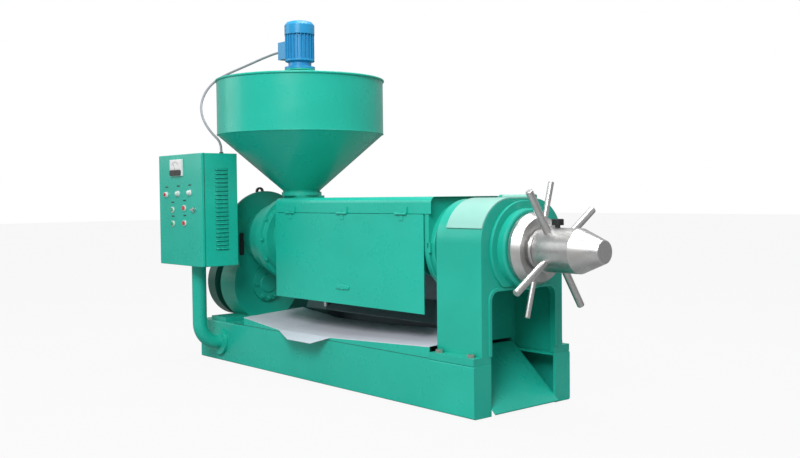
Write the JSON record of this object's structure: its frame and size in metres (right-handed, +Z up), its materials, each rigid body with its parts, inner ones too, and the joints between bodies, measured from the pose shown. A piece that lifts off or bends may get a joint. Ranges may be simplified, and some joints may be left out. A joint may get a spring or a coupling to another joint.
{
  "type": "screw oil press",
  "caption": "Screw press for oil seeds: ribbed cage under a hinged cover, geared drive, feed hopper with auger, oil tray, cake chute and control cabinet.",
  "frame": {"origin": "on the floor under the middle of the base frame", "axes": "+X along the base towards the cake discharge end, -Y towards the operator's side with the cabinet and the cover door, +Z up"},
  "size_m": [3.143, 1.4303, 2.149],
  "materials": {
    "green_paint": "glossy sprayed enamel",
    "green_casting": "enamel over cast iron",
    "blue_paint": "glossy enamel",
    "polished_steel": "turned and polished",
    "rough_steel": "machined, slightly rusted",
    "dark_steel": "blackened",
    "gear_steel": "machined and oiled",
    "tray_steel": "bright sheet",
    "dark_sheet": "mill-scaled sheet",
    "zinc_bolt": "zinc plated",
    "belt_rubber": "matt",
    "conduit_sleeve": "matt grey",
    "black_plastic": "matt",
    "meter_plastic": "glossy",
    "green_button_cap": "glossy",
    "red_button_cap": "glossy"
  },
  "bodies": {
    "frame": {"base_frame": "green_paint", "cake_chute": "green_paint", "head_column": "green_casting", "foot_bolts": "zinc_bolt", "lid_hinge_pin": "dark_steel", "head_bushing": "green_casting", "flange_bolts": "green_paint", "cage_bars": "dark_sheet", "cage_halves": "green_casting", "cage_end_flange": "green_casting", "feed_housing": "green_casting", "main_bearing_housing": "green_casting", "gear_case_lower": "green_casting", "gear_case_upper": "green_casting", "lower_bearing_cover": "green_casting", "lifting_eye": "dark_steel", "shaft_bearings": "gear_steel", "main_motor": "blue_paint", "v_belts": "belt_rubber", "motor_slide_rails": "green_paint", "belt_guard": "green_paint", "cover_shell": "green_paint", "cover_hinges": "green_paint", "oil_tray": "tray_steel", "rear_deflector": "dark_sheet", "drip_pipe": "polished_steel", "hopper": "green_paint", "hopper_bridge": "green_paint", "feed_motor": "blue_paint", "conduit": "conduit_sleeve", "conduit_glands": "black_plastic", "cabinet_shell": "green_paint", "cabinet_hinges": "green_paint", "cabinet_post": "green_paint"},
    "lid": {"head_lid": "green_paint"},
    "lock_nut": {"lock_nut": "polished_steel", "lock_nut_bars": "polished_steel"},
    "thrust_carrier": {"thrust_bearing": "gear_steel"},
    "adjusting_screw": {"adjusting_screw": "polished_steel", "adjusting_screw_bars": "polished_steel", "set_screw": "dark_steel"},
    "spindle": {"spindle": "rough_steel", "press_worms": "gear_steel"},
    "bull_gear": {"bull_gear": "gear_steel"},
    "layshaft": {"layshaft": "gear_steel", "layshaft_gear": "gear_steel"},
    "input_shaft": {"input_shaft": "gear_steel", "input_pulley": "gear_steel"},
    "motor_rotor": {"motor_shaft": "gear_steel", "motor_pulley": "gear_steel"},
    "feed_auger": {"feed_auger": "gear_steel"},
    "cover_door": {"cover_door": "green_paint"},
    "cover_latch": {"cover_latch": "green_paint"},
    "cabinet_door": {"cabinet_door": "green_paint", "door_instruments": "meter_plastic"},
    "door_lock": {"door_lock": "polished_steel"},
    "press_start": {"press_start_button": "green_button_cap"},
    "press_stop": {"press_stop_button": "red_button_cap"},
    "feeder_start": {"feeder_start_button": "green_button_cap"},
    "feeder_stop": {"feeder_stop_button": "red_button_cap"}
  },
  "joints": [
    {"name": "lid_hinge", "type": "hinge", "parent": "frame", "child": "lid", "pos_m": [1.156, 0.097, 1.04], "axis": [-1, 0, 0], "range_deg": [0, 100]},
    {"name": "lock_nut_turn", "type": "hinge", "parent": "frame", "child": "lock_nut", "pos_m": [1.36, 0, 0.7865], "axis": [1, 0, 0], "range_deg": [0, 90]},
    {"name": "spindle_shift", "type": "slide", "parent": "frame", "child": "thrust_carrier", "axis": [1, 0, 0], "range_m": [-0.00601, 0.00601]},
    {"name": "adjusting_screw_turn", "type": "hinge", "parent": "thrust_carrier", "child": "adjusting_screw", "pos_m": [1.5, 0, 0.7865], "axis": [1, 0, 0], "range_deg": [-360, 360]},
    {"name": "spindle_spin", "type": "hinge", "parent": "thrust_carrier", "child": "spindle", "pos_m": [0, 0, 0.7865], "axis": [1, 0, 0], "continuous": true},
    {"name": "bull_gear_spin", "type": "hinge", "parent": "frame", "child": "bull_gear", "pos_m": [-1.07, 0, 0.7865], "axis": [1, 0, 0], "continuous": true},
    {"name": "layshaft_spin", "type": "hinge", "parent": "frame", "child": "layshaft", "pos_m": [-1.09, 0.2063, 0.60315], "axis": [1, 0, 0], "continuous": true},
    {"name": "input_shaft_spin", "type": "hinge", "parent": "frame", "child": "input_shaft", "pos_m": [-1.2, 0, 0.4805], "axis": [1, 0, 0], "continuous": true},
    {"name": "motor_spin", "type": "hinge", "parent": "frame", "child": "motor_rotor", "pos_m": [-1, 0.6, 0.28], "axis": [1, 0, 0], "continuous": true},
    {"name": "feed_auger_spin", "type": "hinge", "parent": "frame", "child": "feed_auger", "pos_m": [-0.5865, 0, 1.4], "axis": [0, 0, 1], "continuous": true},
    {"name": "cover_door_hinge", "type": "hinge", "parent": "frame", "child": "cover_door", "pos_m": [0.17, -0.2636, 0.957], "axis": [-1, 0, 0], "range_deg": [0, 110]},
    {"name": "cover_latch_turn", "type": "hinge", "parent": "cover_door", "child": "cover_latch", "pos_m": [0.168, -0.26, 0.545], "axis": [0, 1, 0], "range_deg": [0, 90]},
    {"name": "cabinet_door_hinge", "type": "hinge", "parent": "frame", "child": "cabinet_door", "pos_m": [-1.3045, -0.601, 0.976], "axis": [0, 0, -1], "range_deg": [0, 120]},
    {"name": "door_lock_turn", "type": "hinge", "parent": "cabinet_door", "child": "door_lock", "pos_m": [-0.844, -0.62, 0.979], "axis": [0, -1, 0], "range_deg": [0, 90]},
    {"name": "press_start_travel", "type": "slide", "parent": "cabinet_door", "child": "press_start", "axis": [0, 1, 0], "range_m": [0, 0.004], "stiffness_N_per_m": 300},
    {"name": "press_stop_travel", "type": "slide", "parent": "cabinet_door", "child": "press_stop", "axis": [0, 1, 0], "range_m": [0, 0.004], "stiffness_N_per_m": 300},
    {"name": "feeder_start_travel", "type": "slide", "parent": "cabinet_door", "child": "feeder_start", "axis": [0, 1, 0], "range_m": [0, 0.004], "stiffness_N_per_m": 300},
    {"name": "feeder_stop_travel", "type": "slide", "parent": "cabinet_door", "child": "feeder_stop", "axis": [0, 1, 0], "range_m": [0, 0.004], "stiffness_N_per_m": 300}
  ],
  "couplings": [
    {"joint": "input_shaft_spin", "follows": "motor_spin", "ratio": 0.5},
    {"joint": "layshaft_spin", "follows": "motor_spin", "ratio": -0.125},
    {"joint": "bull_gear_spin", "follows": "motor_spin", "ratio": 0.031818},
    {"joint": "spindle_spin", "follows": "motor_spin", "ratio": 0.031818},
    {"joint": "spindle_shift", "follows": "adjusting_screw_turn", "m_per_rad": 0.00095493}
  ]
}
